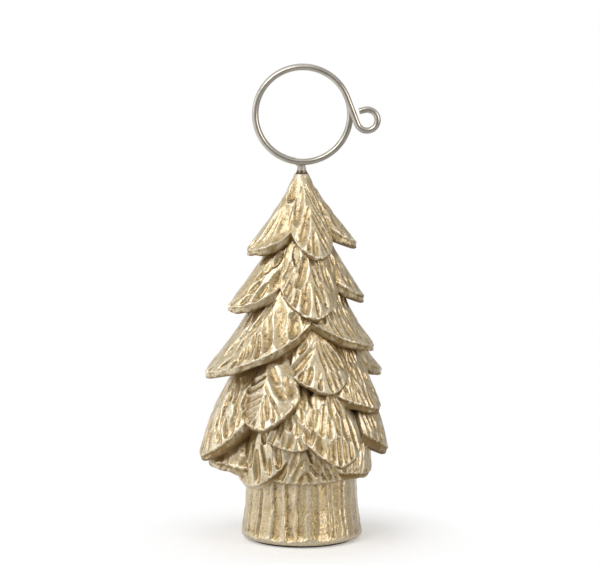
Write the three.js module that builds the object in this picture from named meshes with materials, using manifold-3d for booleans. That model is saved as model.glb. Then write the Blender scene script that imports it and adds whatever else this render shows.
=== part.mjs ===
// Place card holder: a cast resin fir tree on a carved stump, with a sprung wire ring in its tip.
// Millimetres, +Z up. The front faces -Y, and the origin is the centre of the face it stands on.
// Azimuths are degrees seen from above: 0 faces the front and 90 faces +X.
import * as THREE from "three";
import Module from "manifold-3d";

// Felt pad
const PAD_THICKNESS = 0.6;
const PAD_INSET = 0.8;

// Stump
const FOOT_DIAMETER = 30.4;
const WAIST_DIAMETER = 27.2;
const STUMP_INTO_CROWN = 3;
const FOOT_ROUND = 1.4;
const STUMP_GOUGES = 22;
const STUMP_GOUGE_DEPTH = 0.55;

// Crown
const TREE_HEIGHT = 92;
const CROWN_RADIUS = 26.6;
const TIP_DIAMETER = 3.6;
const BOUGH_WALL = 1.8;
const BOUGH_GOUGE_WIDTH = 4.4;
const BOUGH_GOUGE_DEPTH = 0.45;

// Wire clip
const WIRE_DIAMETER = 1.6;
const RING_DIAMETER = 23.5;
const RING_ABOVE_TIP = 3.05;
const RING_SIDE_SHIFT = 0.3;
const TURN_GAP = 0.3;
const CURL_DIAMETER = 5.2;
const CURL_LEAD = 6.9;
const CURL_MOUTH = 0.75;
const CURL_TURN = 263;
const STEM_DEPTH = 14;
const FLEX_GAP = 0.1;

// Socket in the tip and the adhesive in it
const SOCKET_CLEARANCE = 0.2;
const COUNTERSINK_DEPTH = 1.2;
const COUNTERSINK_MARGIN = 0.45;
const ADHESIVE_GAP = 0.15;
const ADHESIVE_RISE = 0.9;

// The solid core under the boughs: heights and radii in hundredths of the tree height and crown radius.
const CORE = [
  { height: 82, radius: 26 },
  { height: 70, radius: 36 },
  { height: 58, radius: 45 },
  { height: 48, radius: 52 },
  { height: 34, radius: 57 },
  { height: 21, radius: 54 },
];

// Boughs by tier, from the top down. Root, tip, rise and sag are hundredths of the tree height or
// crown radius, and azimuth and spread are degrees. Spread and rise are given to the left and right
// of the midrib as seen from outside: how far the bough reaches round, and how high its edge climbs.
// Flare is the slope of the cone on which neighbouring boughs meet, and apex is the share of the
// spread that a bough already has at its root. Full and bow are powers: how long a bough keeps its
// midrib's reach towards its sides, and how late its lower edge climbs. Twist is how far a midrib has
// turned at the root, in degrees from its azimuth at the tip.
const TIERS = [
  {
    root: 99.4, flare: 0.42, apex: 1, sag: -2.4, full: 1.3, bow: 1.35,
    boughs: [
      { azimuth: -72, reach: 56, tip: 79.3, spread: [38, 51], rise: [6, 6.4] },
      { azimuth: 22, reach: 51, tip: 78.4, spread: [44, 46], rise: [6.6, 5.4] },
      { azimuth: 95, reach: 53.5, tip: 81.2, spread: [36, 36], rise: [5.5, 5] },
      { azimuth: 163, reach: 53, tip: 78.4, spread: [36, 34], rise: [6, 6.5] },
      { azimuth: 222, reach: 52, tip: 79.8, spread: [34, 36], rise: [6, 5] },
    ],
  },
  {
    root: 83.5, flare: 0.34, apex: 1, sag: -1.5, full: 1.3, bow: 1.45,
    boughs: [
      { azimuth: -70, reach: 74.5, tip: 64.7, spread: [36, 39], rise: [6, 6.6] },
      { azimuth: 13.5, reach: 61, tip: 62.5, spread: [46, 43], rise: [8, 6] },
      { azimuth: 95, reach: 61, tip: 66.3, spread: [44, 38], rise: [6, 5] },
      { azimuth: 165, reach: 66, tip: 63.6, spread: [36, 36], rise: [7, 7] },
      { azimuth: 228, reach: 67, tip: 65.4, spread: [34, 36], rise: [6, 5] },
    ],
  },
  {
    root: 72, flare: 0.42, apex: 1, sag: -6, full: 1.3, bow: 1.4,
    boughs: [
      { azimuth: -68, reach: 97.5, tip: 47.3, spread: [42, 78], rise: [10, 13.6] },
      { azimuth: 75, reach: 71.5, tip: 53.6, spread: [66, 40], rise: [8, 6] },
      { azimuth: 150, reach: 77, tip: 50.5, spread: [40, 38], rise: [7, 7] },
      { azimuth: 222, reach: 81, tip: 49.5, spread: [38, 36], rise: [7, 8] },
    ],
  },
  {
    root: 61, flare: 0.28, apex: 0.4, sag: -1, full: 1.7, bow: 1.25,
    boughs: [
      { azimuth: 22, twist: -9, reach: 75, tip: 42.8, spread: [40, 34], rise: [6.5, 5] },
      { azimuth: 70, reach: 79, tip: 36.8, spread: [48, 40], rise: [6, 7] },
      { azimuth: 112, reach: 83, tip: 45, spread: [32, 34], rise: [5, 6] },
      { azimuth: 165, reach: 81, tip: 40.2, spread: [36, 34], rise: [7, 7] },
      { azimuth: 222, reach: 80, tip: 41.5, spread: [34, 40], rise: [7, 7] },
    ],
  },
  {
    root: 56.5, flare: 0.38, apex: 0.3, sag: 5, full: 1.9, bow: 1.25,
    boughs: [
      { azimuth: -23.5, twist: -9, reach: 91, tip: 33.7, spread: [22, 26], rise: [1.6, 8] },
      { azimuth: 178, reach: 88, tip: 33, spread: [27, 27], rise: [6, 6] },
    ],
  },
  {
    root: 54, flare: 0.34, apex: 0.4, sag: 8, full: 1.4, bow: 1.6,
    boughs: [
      { azimuth: -72, reach: 100, tip: 24.2, spread: [42, 36], rise: [9, 14.5] },
      { azimuth: 203, reach: 90, tip: 25, spread: [34, 34], rise: [8, 8] },
      { azimuth: 250, reach: 91, tip: 27.2, spread: [32, 34], rise: [7, 7] },
    ],
  },
  {
    root: 47, flare: 0.3, apex: 0.1, sag: 5, full: 1.9, bow: 1.25,
    boughs: [
      { azimuth: 25, reach: 88, tip: 23.6, spread: [27, 27], rise: [8, 5] },
      { azimuth: 97, reach: 83, tip: 24, spread: [40, 34], rise: [6.5, 7] },
      { azimuth: 150, reach: 86, tip: 26, spread: [36, 34], rise: [8, 8] },
    ],
  },
  {
    root: 36, flare: 0.12, apex: 0.4, sag: 4, full: 1.6, bow: 1.8,
    boughs: [
      { azimuth: -70, reach: 82, tip: 20.4, spread: [26, 30], rise: [2, 2] },
      { azimuth: -45, reach: 69, tip: 16.6, spread: [28, 44], rise: [3, 12.7] },
      { azimuth: 3, reach: 62, tip: 17.8, spread: [36, 40], rise: [1, 1] },
      { azimuth: 64, reach: 70, tip: 19.4, spread: [36, 30], rise: [1.5, 3] },
      { azimuth: 112, reach: 66, tip: 18.4, spread: [30, 30], rise: [4, 5] },
      { azimuth: 163, reach: 68, tip: 17.4, spread: [30, 30], rise: [5, 5] },
      { azimuth: 214, reach: 69, tip: 18, spread: [30, 28], rise: [5, 5] },
      { azimuth: 252, reach: 72, tip: 19, spread: [28, 30], rise: [4, 3] },
    ],
  },
];

const wasm = await Module();
wasm.setup();

const GOLD_PAINT = new THREE.MeshStandardMaterial({ color: 0xcbb27c, roughness: 0.38, metalness: 0.8 });
const NICKEL_WIRE = new THREE.MeshStandardMaterial({ color: 0xb8b2a8, roughness: 0.25, metalness: 1 });
const AMBER_ADHESIVE = new THREE.MeshStandardMaterial({ color: 0x6b4416, roughness: 0.2, metalness: 0 });
const BROWN_FELT = new THREE.MeshStandardMaterial({ color: 0x332a20, roughness: 1, metalness: 0 });

const wireRadius = WIRE_DIAMETER / 2;
const ringRadius = RING_DIAMETER / 2;
const socketRadius = wireRadius + SOCKET_CLEARANCE;
const tipRadius = TIP_DIAMETER / 2;
const footRadius = FOOT_DIAMETER / 2;

const radians = (degrees) => (degrees * Math.PI) / 180;
const high = (share) => (TREE_HEIGHT * share) / 100;
const wide = (share) => (CROWN_RADIUS * share) / 100;
const lerp = THREE.MathUtils.lerp;

// A closed geometry as a solid, with the vertices of neighbouring faces welded.
function solidOf(geometry) {
  const position = geometry.getAttribute("position");
  const index = geometry.getIndex();
  const count = index ? index.count : position.count;
  const seen = new Map();
  const vertices = [];
  const corners = [];
  for (let i = 0; i < count; i += 1) {
    const v = index ? index.getX(i) : i;
    const point = [position.getX(v), position.getY(v), position.getZ(v)];
    const key = point.map((value) => Math.round(value * 1e5)).join(",");
    if (!seen.has(key)) {
      seen.set(key, vertices.length / 3);
      vertices.push(...point);
    }
    corners.push(seen.get(key));
  }
  const faces = [];
  for (let i = 0; i < corners.length; i += 3) {
    const [a, b, c] = corners.slice(i, i + 3);
    if (a !== b && b !== c && c !== a) faces.push(a, b, c);
  }
  const mesh = new wasm.Mesh({
    numProp: 3,
    vertProperties: new Float32Array(vertices),
    triVerts: new Uint32Array(faces),
  });
  return new wasm.Manifold(mesh);
}

// A solid as a geometry with flat faces. Only its outer shell is kept, so that pockets which the
// boughs close off between them are filled.
function geometryOf(solid) {
  const mesh = solid.getMesh();
  const shellOf = Array.from({ length: mesh.vertProperties.length / mesh.numProp }, (_, v) => v);
  const rootOf = (v) => {
    let root = v;
    while (shellOf[root] !== root) root = shellOf[root];
    shellOf[v] = root;
    return root;
  };
  const faces = [];
  for (let i = 0; i < mesh.triVerts.length; i += 3) faces.push(mesh.triVerts.slice(i, i + 3));
  for (const [a, b, c] of faces) {
    shellOf[rootOf(b)] = rootOf(a);
    shellOf[rootOf(c)] = rootOf(a);
  }
  const sizes = new Map();
  for (const [a] of faces) sizes.set(rootOf(a), (sizes.get(rootOf(a)) ?? 0) + 1);
  const [outerShell] = [...sizes].reduce((best, next) => (next[1] > best[1] ? next : best));
  const positions = [];
  for (const face of faces.filter(([a]) => rootOf(a) === outerShell)) {
    for (const v of face) {
      const first = v * mesh.numProp;
      positions.push(...mesh.vertProperties.slice(first, first + 3));
    }
  }
  const geometry = new THREE.BufferGeometry();
  geometry.setAttribute("position", new THREE.Float32BufferAttribute(positions, 3));
  geometry.computeVertexNormals();
  return geometry;
}

// A body of revolution about the Z axis from [radius, height] pairs that run from bottom to top.
function turned(profile, segments) {
  const points = profile.map(([radius, height]) => new THREE.Vector2(radius, height));
  const geometry = new THREE.LatheGeometry(points, segments);
  geometry.rotateX(Math.PI / 2);
  return geometry;
}

// A closed shell between two grids of points, outer and inner, with the same rows and columns.
function shellBetween(outer, inner) {
  const rows = outer.length;
  const columns = outer[0].length;
  const points = [...outer.flat(), ...inner.flat()];
  const out = (row, column) => row * columns + column;
  const into = (row, column) => rows * columns + row * columns + column;
  const faces = [];
  const quad = (a, b, c, d) => faces.push(a, b, c, a, c, d);
  for (let r = 0; r < rows - 1; r += 1) {
    for (let c = 0; c < columns - 1; c += 1) {
      quad(out(r, c), out(r + 1, c), out(r + 1, c + 1), out(r, c + 1));
      quad(into(r, c), into(r, c + 1), into(r + 1, c + 1), into(r + 1, c));
    }
    quad(out(r, 0), into(r, 0), into(r + 1, 0), out(r + 1, 0));
    const last = columns - 1;
    quad(out(r, last), out(r + 1, last), into(r + 1, last), into(r, last));
  }
  for (let c = 0; c < columns - 1; c += 1) {
    quad(out(0, c), out(0, c + 1), into(0, c + 1), into(0, c));
    const last = rows - 1;
    quad(out(last, c), into(last, c), into(last, c + 1), out(last, c + 1));
  }
  const geometry = new THREE.BufferGeometry();
  geometry.setAttribute("position", new THREE.Float32BufferAttribute(points.flatMap((p) => p.toArray()), 3));
  geometry.setIndex(faces);
  return geometry;
}

// Core profile in millimetres, from the tip down.
const coreProfile = [
  [tipRadius, TREE_HEIGHT],
  ...CORE.map(({ height, radius }) => [wide(radius), high(height)]),
];

function coreRadius(z) {
  for (let i = 0; i < coreProfile.length - 1; i += 1) {
    const [upperRadius, upperZ] = coreProfile[i];
    const [lowerRadius, lowerZ] = coreProfile[i + 1];
    if (z >= lowerZ) return lerp(upperRadius, lowerRadius, Math.min(1, (upperZ - z) / (upperZ - lowerZ)));
  }
  return coreProfile.at(-1)[0];
}

// One bough: a fluted slab that leans out from the core, ridged along its midrib, with a lower edge
// that climbs on both sides of the tip. Boughs that point to the left or right have a deeper, more
// upright edge than those at the front and back.
function boughSolid(tier, bough) {
  const rootZ = high(tier.root);
  const rootRadius = coreRadius(rootZ);
  const tipZ = high(bough.tip);
  const reach = wide(bough.reach);
  const lean = Math.atan2(reach - rootRadius, rootZ - tipZ);
  const heel = Math.abs(Math.sin(radians(bough.azimuth)));
  const back = lean + radians(8 + 30 * heel);

  const columns = [];
  for (const side of [0, 1]) {
    const arc = radians(bough.spread[side]) * reach;
    const count = 2 * Math.max(2, Math.round(arc / BOUGH_GOUGE_WIDTH));
    for (let i = 0; i < count + side; i += 1) {
      const step = side === 0 ? count - i : i;
      columns.push({ side, share: step / count, carved: step % 2 === 1 });
    }
  }

  const outer = [];
  const inner = [];
  for (const down of [0, 0.3, 0.55, 0.8, 1]) {
    const outerRow = [];
    const innerRow = [];
    for (const { side, share, carved } of columns) {
      const edgeZ = tipZ + high(bough.rise[side]) * share ** tier.bow;
      const z = lerp(rootZ, edgeZ, down);
      const fall = (rootZ - z) / (rootZ - tipZ);
      const ridge = lerp(rootRadius, reach, fall) + wide(tier.sag) * Math.sin(Math.PI * fall);
      const cone = rootRadius + tier.flare * (rootZ - z);
      const radius = lerp(ridge, cone, share ** tier.full);
      const fan = lerp(tier.apex, 1, Math.min(1, down * 1.6));
      const swing = bough.spread[side] * share * fan * (side === 0 ? -1 : 1);
      const angle = radians(bough.azimuth + (bough.twist ?? 0) * (1 - fall) + swing);
      const place = (r, height) => new THREE.Vector3(r * Math.sin(angle), -r * Math.cos(angle), height);
      const depth = carved ? BOUGH_GOUGE_DEPTH * Math.min(1, down * 2) : 0;
      outerRow.push(place(radius - depth * Math.cos(lean), z - depth * Math.sin(lean)));
      const wall = BOUGH_WALL * (1 + 0.5 * heel * share);
      const underZ = z - wall * Math.sin(back);
      const rim = radius - wall * Math.cos(back);
      innerRow.push(place(down === 1 ? rim : Math.min(rim, coreRadius(underZ)) * 0.75, underZ));
    }
    outer.push(outerRow);
    inner.push(innerRow);
  }
  return solidOf(shellBetween(outer, inner));
}

// The stump: a flared, round-edged post whose side is carved with upright gouges.
function stumpSolid() {
  const footZ = PAD_THICKNESS;
  const topZ = coreProfile.at(-1)[1] + STUMP_INTO_CROWN;
  const waistRadius = WAIST_DIAMETER / 2;
  const profile = [[0, footZ], [footRadius - FOOT_ROUND, footZ]];
  for (const turn of [30, 60, 90]) {
    const round = radians(turn);
    profile.push([
      footRadius - FOOT_ROUND + FOOT_ROUND * Math.sin(round),
      footZ + FOOT_ROUND - FOOT_ROUND * Math.cos(round),
    ]);
  }
  profile.push([lerp(footRadius, waistRadius, 0.6), lerp(footZ + FOOT_ROUND, topZ, 0.35)]);
  profile.push([waistRadius, topZ]);
  profile.push([0, topZ]);
  const segments = STUMP_GOUGES * 3;
  const geometry = turned(profile, segments);
  const position = geometry.getAttribute("position");
  for (let v = 0; v < position.count; v += 1) {
    const column = Math.floor(v / profile.length) % segments;
    const radius = Math.hypot(position.getX(v), position.getY(v));
    const carved = column % 3 === 1 && radius > footRadius / 2;
    const share = carved ? (radius - STUMP_GOUGE_DEPTH) / radius : 1;
    position.setX(v, position.getX(v) * share);
    position.setY(v, position.getY(v) * share);
  }
  return solidOf(geometry);
}

function coreSolid() {
  const floorZ = coreProfile.at(-1)[1];
  const profile = [[0, floorZ], ...[...coreProfile].reverse(), [0, TREE_HEIGHT]];
  return solidOf(turned(profile, 24));
}

// Socket for the stem: a plain bore with a countersunk mouth.
const socketFloor = TREE_HEIGHT - STEM_DEPTH - SOCKET_CLEARANCE;
const mouthRadius = socketRadius + COUNTERSINK_MARGIN;

function socketSolid() {
  const above = 1;
  const flare = (COUNTERSINK_MARGIN * above) / COUNTERSINK_DEPTH;
  const profile = [
    [0, socketFloor],
    [socketRadius, socketFloor],
    [socketRadius, TREE_HEIGHT - COUNTERSINK_DEPTH],
    [mouthRadius + flare, TREE_HEIGHT + above],
    [0, TREE_HEIGHT + above],
  ];
  return solidOf(turned(profile, 24));
}

function castingSolid() {
  let casting = coreSolid().add(stumpSolid());
  for (const tier of TIERS) {
    for (const bough of tier.boughs) casting = casting.add(boughSolid(tier, bough));
  }
  return casting.subtract(socketSolid());
}

// The adhesive: a ring that fills the countersink and climbs the stem.
function adhesiveGeometry() {
  const inner = wireRadius + ADHESIVE_GAP / 2;
  const slope = COUNTERSINK_MARGIN / COUNTERSINK_DEPTH;
  const bottomZ = TREE_HEIGHT - COUNTERSINK_DEPTH + ADHESIVE_GAP * 3;
  const wallAt = (z) => socketRadius + (z - TREE_HEIGHT + COUNTERSINK_DEPTH) * slope - ADHESIVE_GAP;
  const profile = [
    [inner, bottomZ],
    [wallAt(bottomZ), bottomZ],
    [wallAt(TREE_HEIGHT), TREE_HEIGHT],
    [lerp(inner, wallAt(TREE_HEIGHT), 0.75), TREE_HEIGHT + ADHESIVE_RISE * 0.45],
    [lerp(inner, wallAt(TREE_HEIGHT), 0.3), TREE_HEIGHT + ADHESIVE_RISE * 0.85],
    [inner, TREE_HEIGHT + ADHESIVE_RISE],
    [inner, bottomZ],
  ];
  return turned(profile, 24);
}

// The wire. The ring winds clockwise seen from the front, from its lowest point, and steps forward
// by one wire and one gap on each turn.
const ringZ = TREE_HEIGHT + RING_ABOVE_TIP + ringRadius;
const turnPitch = WIRE_DIAMETER + TURN_GAP;

function onRing(degrees) {
  const turn = radians(degrees);
  return new THREE.Vector3(
    RING_SIDE_SHIFT - ringRadius * Math.sin(turn),
    -turnPitch * (degrees / 360),
    ringZ - ringRadius * Math.cos(turn),
  );
}

function ringPoints(from, to, step) {
  const count = Math.ceil((to - from) / step);
  return Array.from({ length: count + 1 }, (_, i) => onRing(lerp(from, to, i / count)));
}

function sweptWire(points, steps) {
  const path = new THREE.CatmullRomCurve3(points, false, "centripetal");
  const section = new THREE.Shape();
  section.absarc(0, 0, wireRadius, 0, Math.PI * 2, false);
  const sweep = { steps, curveSegments: 4, bevelEnabled: false, extrudePath: path };
  return new THREE.ExtrudeGeometry(section, sweep);
}

// Half the angle that the flex gap takes out of the ring.
const flexHalf = (FLEX_GAP / ringRadius) * (90 / Math.PI);

function backTurnGeometry() {
  const bendEnd = 22;
  const joinsRing = onRing(bendEnd);
  const heading = new THREE.Vector3(-Math.cos(radians(bendEnd)), 0, Math.sin(radians(bendEnd)));
  const bendStart = new THREE.Vector3(0, 0, TREE_HEIGHT + RING_ABOVE_TIP * 0.2);
  const bend = new THREE.CubicBezierCurve3(
    bendStart,
    new THREE.Vector3(0, 0, TREE_HEIGHT + RING_ABOVE_TIP * 0.95),
    joinsRing.clone().addScaledVector(heading, -ringRadius * 0.17),
    joinsRing,
  );
  const stemFoot = new THREE.Vector3(0, 0, TREE_HEIGHT - STEM_DEPTH);
  const stemTop = new THREE.Vector3(0, 0, TREE_HEIGHT - COUNTERSINK_DEPTH);
  const ring = ringPoints(bendEnd, 360 - flexHalf, 12);
  return sweptWire([stemFoot, stemTop, ...bend.getPoints(8), ...ring.slice(1)], 60);
}

// The front turn runs on over the top of the ring, leaves it on a straight lead and ends in a curl
// whose cut end stops short of the lead.
function frontTurnGeometry() {
  const leaves = 609;
  const ring = ringPoints(360 + flexHalf, leaves, 12);
  const start = onRing(leaves);
  const heading = new THREE.Vector3(-Math.cos(radians(leaves)), 0, Math.sin(radians(leaves)));
  const toCentre = new THREE.Vector3(-heading.z, 0, heading.x);
  const along = (from, forward, sideways) =>
    from.clone().addScaledVector(heading, forward).addScaledVector(toCentre, sideways);
  const lead = [0.5, 1].map((share) => along(start, CURL_LEAD * share, 0));
  const curlRadius = CURL_DIAMETER / 2;
  const centre = along(start, CURL_LEAD, curlRadius);
  const bends = Math.ceil(CURL_TURN / 21);
  const curl = [];
  for (let i = 1; i <= bends; i += 1) {
    const angle = radians((CURL_TURN * i) / bends);
    curl.push(along(centre, curlRadius * Math.sin(angle), -curlRadius * Math.cos(angle)));
  }
  const end = radians(CURL_TURN);
  const room = curlRadius * (1 - Math.cos(end)) - wireRadius - CURL_MOUTH;
  const tail = room / -Math.sin(end);
  const cutEnd = along(curl.at(-1), tail * Math.cos(end), tail * Math.sin(end));
  return sweptWire([...ring, ...lead, ...curl, cutEnd], 64);
}

function padGeometry() {
  const radius = footRadius - FOOT_ROUND - PAD_INSET;
  return turned([[0, 0], [radius, 0], [radius, PAD_THICKNESS], [0, PAD_THICKNESS]], 48);
}

function piece(name, geometry, material) {
  const mesh = new THREE.Mesh(geometry, material);
  mesh.name = name;
  return mesh;
}

const holder = new THREE.Group();
holder.name = "place_card_holder";
holder.add(piece("felt_pad", padGeometry(), BROWN_FELT));
holder.add(piece("tree_casting", geometryOf(castingSolid()), GOLD_PAINT));
holder.add(piece("tip_adhesive", adhesiveGeometry(), AMBER_ADHESIVE));
holder.add(piece("clip_back_turn", backTurnGeometry(), NICKEL_WIRE));
holder.add(piece("clip_front_turn", frontTurnGeometry(), NICKEL_WIRE.clone()));

export default holder;
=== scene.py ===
"""Place card holder: a gold fir tree on a stump, with a wire ring in its tip that grips a card."""

import math
import random

import bmesh
import bpy
import numpy as np
from bpy.props import FloatProperty, FloatVectorProperty, PointerProperty
from mathutils import Matrix, Vector
from mathutils.bvhtree import BVHTree
from mathutils.kdtree import KDTree


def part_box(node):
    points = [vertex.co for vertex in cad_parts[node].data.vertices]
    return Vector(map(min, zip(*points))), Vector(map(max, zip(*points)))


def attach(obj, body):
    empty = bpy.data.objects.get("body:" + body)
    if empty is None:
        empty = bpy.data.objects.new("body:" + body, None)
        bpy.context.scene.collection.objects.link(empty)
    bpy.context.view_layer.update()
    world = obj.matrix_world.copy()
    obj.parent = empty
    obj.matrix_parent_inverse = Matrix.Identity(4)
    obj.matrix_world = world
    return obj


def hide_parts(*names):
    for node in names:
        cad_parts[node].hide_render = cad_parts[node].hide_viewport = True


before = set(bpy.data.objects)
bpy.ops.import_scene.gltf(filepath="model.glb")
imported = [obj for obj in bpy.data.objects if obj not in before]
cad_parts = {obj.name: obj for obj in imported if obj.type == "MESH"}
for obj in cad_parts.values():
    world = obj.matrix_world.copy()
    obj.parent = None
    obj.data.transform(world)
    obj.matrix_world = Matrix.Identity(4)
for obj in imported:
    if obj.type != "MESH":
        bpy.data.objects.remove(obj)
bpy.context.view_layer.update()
TREE_LOW, TREE_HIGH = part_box("tree_casting")

bl_info = {
    "name": "Place Card Holder",
    "version": (1, 0, 0),
    "blender": (4, 5, 0),
    "location": "View3D > Sidebar > Card Holder",
    "description": "Dresses the packed place card holder: gold tree, wire clip, adhesive and felt",
    "category": "Add Mesh",
}

# Core of the tree from the tip down: height and radius, in percent of the tree's height and the
# crown's radius.
CORE = [(82, 26), (70, 36), (58, 45), (48, 52), (34, 57), (21, 54)]

# Tiers of boughs from the top. A tier has its root height (percent of the tree's height), the slope
# of the cone that its boughs meet on, the share of its width that a bough has at its root, its sag
# (percent of the crown's radius) and two powers: how long a bough keeps its midrib's reach towards
# its sides, and how late its lower edge rises.
# A bough has its azimuth at the tip and how far it has turned at its root (degrees), its reach and
# tip height (percent), its spread to each side (degrees), the rise of its lower edge to each side
# (percent), the angle of its gouges to the midrib (degrees) and their width on each side (mm).
TIERS = [
    ((99.4, 0.42, 1.0, -2.4, 1.3, 1.35), [
        (-72, 0, 55, 79.7, (38, 51), (6, 5.2), 6, (1.4, 2.2)),
        (22, 0, 51, 78.4, (44, 46), (6.6, 5.4), 7, (2.2, 1.25)),
        (95, 0, 53.5, 81.2, (36, 36), (5.5, 5), 8, (1.25, 1.6)),
        (163, 0, 53, 78.4, (36, 34), (6, 6.5), 7, (2.4, 1.25)),
        (222, 0, 52, 79.8, (34, 36), (6, 5), 7, (2.2, 1.3)),
    ]),
    ((83.5, 0.34, 1.0, -1.5, 1.3, 1.45), [
        (-70, 0, 74.5, 64.7, (36, 39), (6, 5.4), 6, (1.4, 1.6)),
        (13.5, 0, 61, 62.5, (46, 43), (8, 6), 9, (2.4, 1.25)),
        (95, 0, 61, 66.3, (44, 38), (6, 5), 8, (1.25, 1.6)),
        (165, 0, 66, 63.6, (36, 36), (7, 7), 8, (2.6, 1.25)),
        (228, 0, 67, 65.4, (34, 36), (6, 5), 8, (2.2, 1.3)),
    ]),
    ((72, 0.42, 1.0, -6, 1.3, 1.4), [
        (-68, 0, 97.5, 47.3, (42, 78), (10, 13.6), 5, (1.3, 1.6)),
        (75, 0, 71.5, 53.6, (66, 40), (8, 6), 8, (1.25, 1.4)),
        (150, 0, 77, 50.5, (40, 38), (7, 7), 8, (2.4, 1.2)),
        (222, 0, 81, 49.5, (38, 36), (7, 8), 8, (2.4, 1.3)),
    ]),
    ((61, 0.28, 0.4, -1, 1.7, 1.25), [
        (22, -9, 75, 42.8, (40, 34), (6.5, 5), 30, (1.6, 1.3)),
        (70, 0, 79, 36.8, (48, 40), (6, 7), 8, (1.2, 1.4)),
        (112, 0, 83, 45, (32, 34), (5, 6), 8, (1.25, 1.4)),
        (165, 0, 81, 40.2, (36, 34), (7, 7), 26, (1.8, 1.5)),
        (222, 0, 80, 41.5, (34, 40), (7, 7), 10, (1.8, 1.4)),
    ]),
    ((56.5, 0.38, 0.3, 5, 1.9, 1.25), [
        (-23.5, -9, 91, 33.7, (22, 26), (1.6, 8), 34, (1.6, 2.0)),
        (178, 0, 88, 33, (27, 27), (6, 6), 32, (1.6, 1.9)),
    ]),
    ((54, 0.34, 0.4, 8, 1.4, 1.6), [
        (-72, 0, 100, 24.2, (42, 36), (9, 14.5), 8, (1.4, 1.4)),
        (203, 0, 90, 25, (34, 34), (8, 8), 10, (1.8, 1.4)),
        (250, 0, 91, 27.2, (32, 34), (7, 7), 12, (1.6, 1.4)),
    ]),
    ((47, 0.3, 0.1, 5, 1.9, 1.25), [
        (25, 0, 88, 23.6, (27, 27), (8, 5), 14, (1.6, 1.4)),
        (-4, 0, 76, 27.5, (24, 24), (2, 3), 12, (1.8, 1.6)),
        (97, 0, 83, 24, (40, 34), (6.5, 7), 8, (1.2, 1.5)),
        (150, 0, 86, 26, (36, 34), (8, 8), 24, (1.8, 1.5)),
    ]),
    ((36, 0.12, 0.4, 4, 1.6, 1.8), [
        (-82, 0, 90, 22.4, (22, 36), (2, -1.8), 8, (1.4, 1.4)),
        (-45, 0, 69, 16.6, (28, 44), (3, 12.7), 9, (1.8, 2.0)),
        (3, 0, 62, 17.8, (36, 40), (1, 1), 26, (1.8, 1.6)),
        (64, 0, 70, 19.4, (36, 30), (1.5, 3), 8, (1.3, 1.4)),
        (112, 0, 66, 18.4, (30, 30), (4, 5), 9, (1.4, 1.6)),
        (163, 0, 68, 17.4, (30, 30), (5, 5), 9, (1.8, 1.5)),
        (214, 0, 69, 18, (30, 28), (5, 5), 10, (1.8, 1.5)),
        (252, 0, 72, 19, (28, 30), (4, 3), 9, (1.6, 1.5)),
    ]),
]

# Boughs, by tier and place in it, whose right-hand edge rises later: times the tier's power.
LATE_EDGES = {(0, 0): 1.5, (1, 0): 1.5}

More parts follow.
